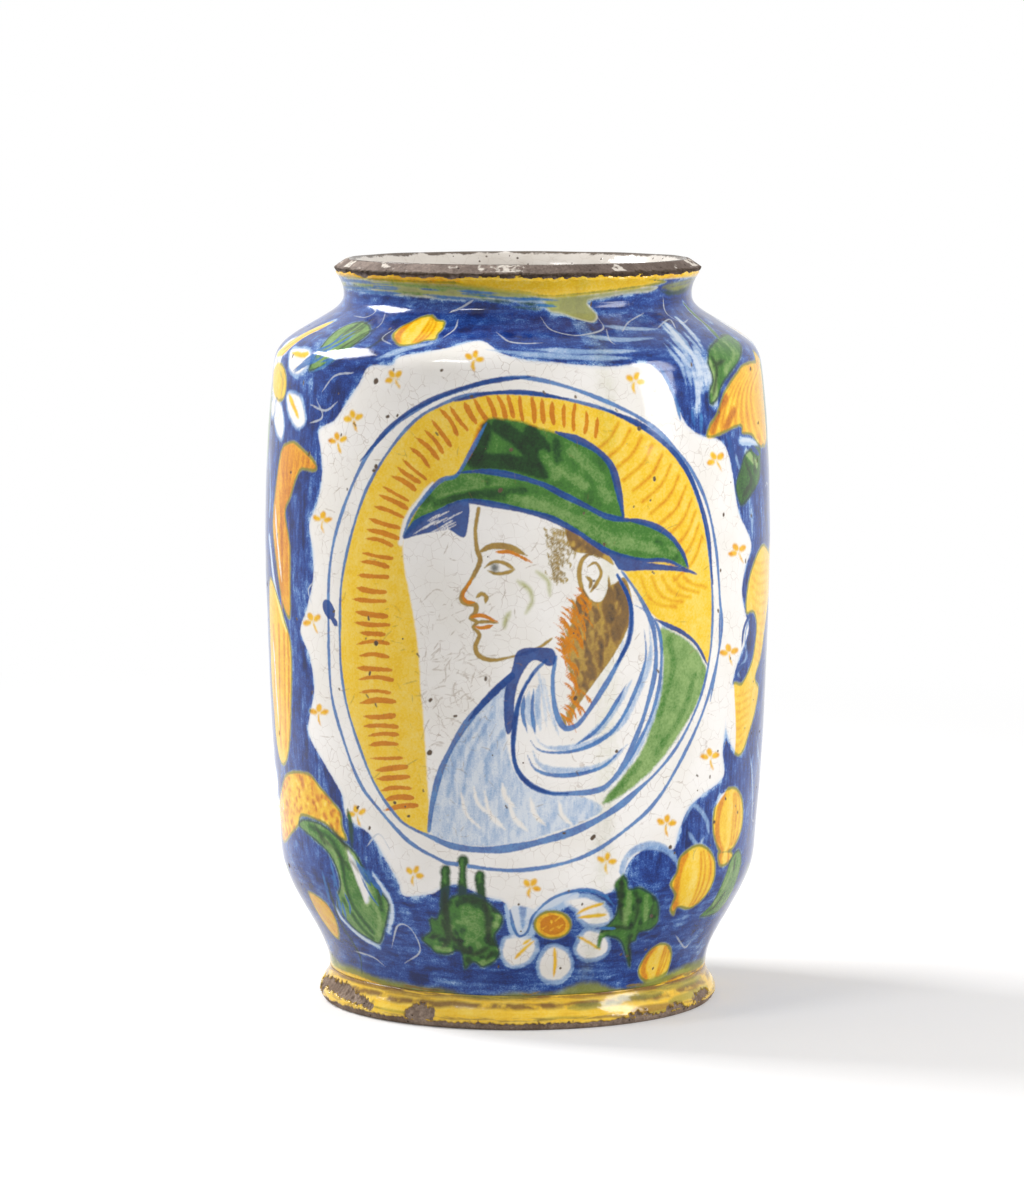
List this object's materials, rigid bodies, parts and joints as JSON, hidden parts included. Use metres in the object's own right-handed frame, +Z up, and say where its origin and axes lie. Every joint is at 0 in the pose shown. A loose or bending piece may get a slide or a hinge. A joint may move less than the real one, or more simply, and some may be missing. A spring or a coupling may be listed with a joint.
{
  "type": "albarello",
  "caption": "Broad waisted storage jar of tin-glazed earthenware with a low neck, flared lip and turned foot, painted all round; holds drugs or dry goods, mouth tied over with a cover.",
  "frame": {"origin": "centre of the plane that the foot stands on", "axes": "+Z up along the axis it was thrown on, painted front towards -Y, +X to the right seen from the front"},
  "size_m": [0.168, 0.168, 0.247],
  "materials": {
    "clay": "bare fired earthenware, worn and stained grey-brown",
    "painted_glaze": "glossy crackled tin glaze painted in cobalt blue, yellow, orange and green",
    "yellow_glaze": "glossy yellow glaze with brown streaks and green runs, chipped at the edge",
    "white_glaze": "glossy white tin glaze with pinholes"
  },
  "bodies": {
    "root": {"base_disc": "clay", "foot_ring": "clay", "heel_wall": "clay", "body_wall": "clay", "shoulder": "clay", "neck_and_lip": "clay", "outer_glaze": "painted_glaze", "foot_glaze": "yellow_glaze", "inner_glaze": "white_glaze"}
  },
  "joints": []
}
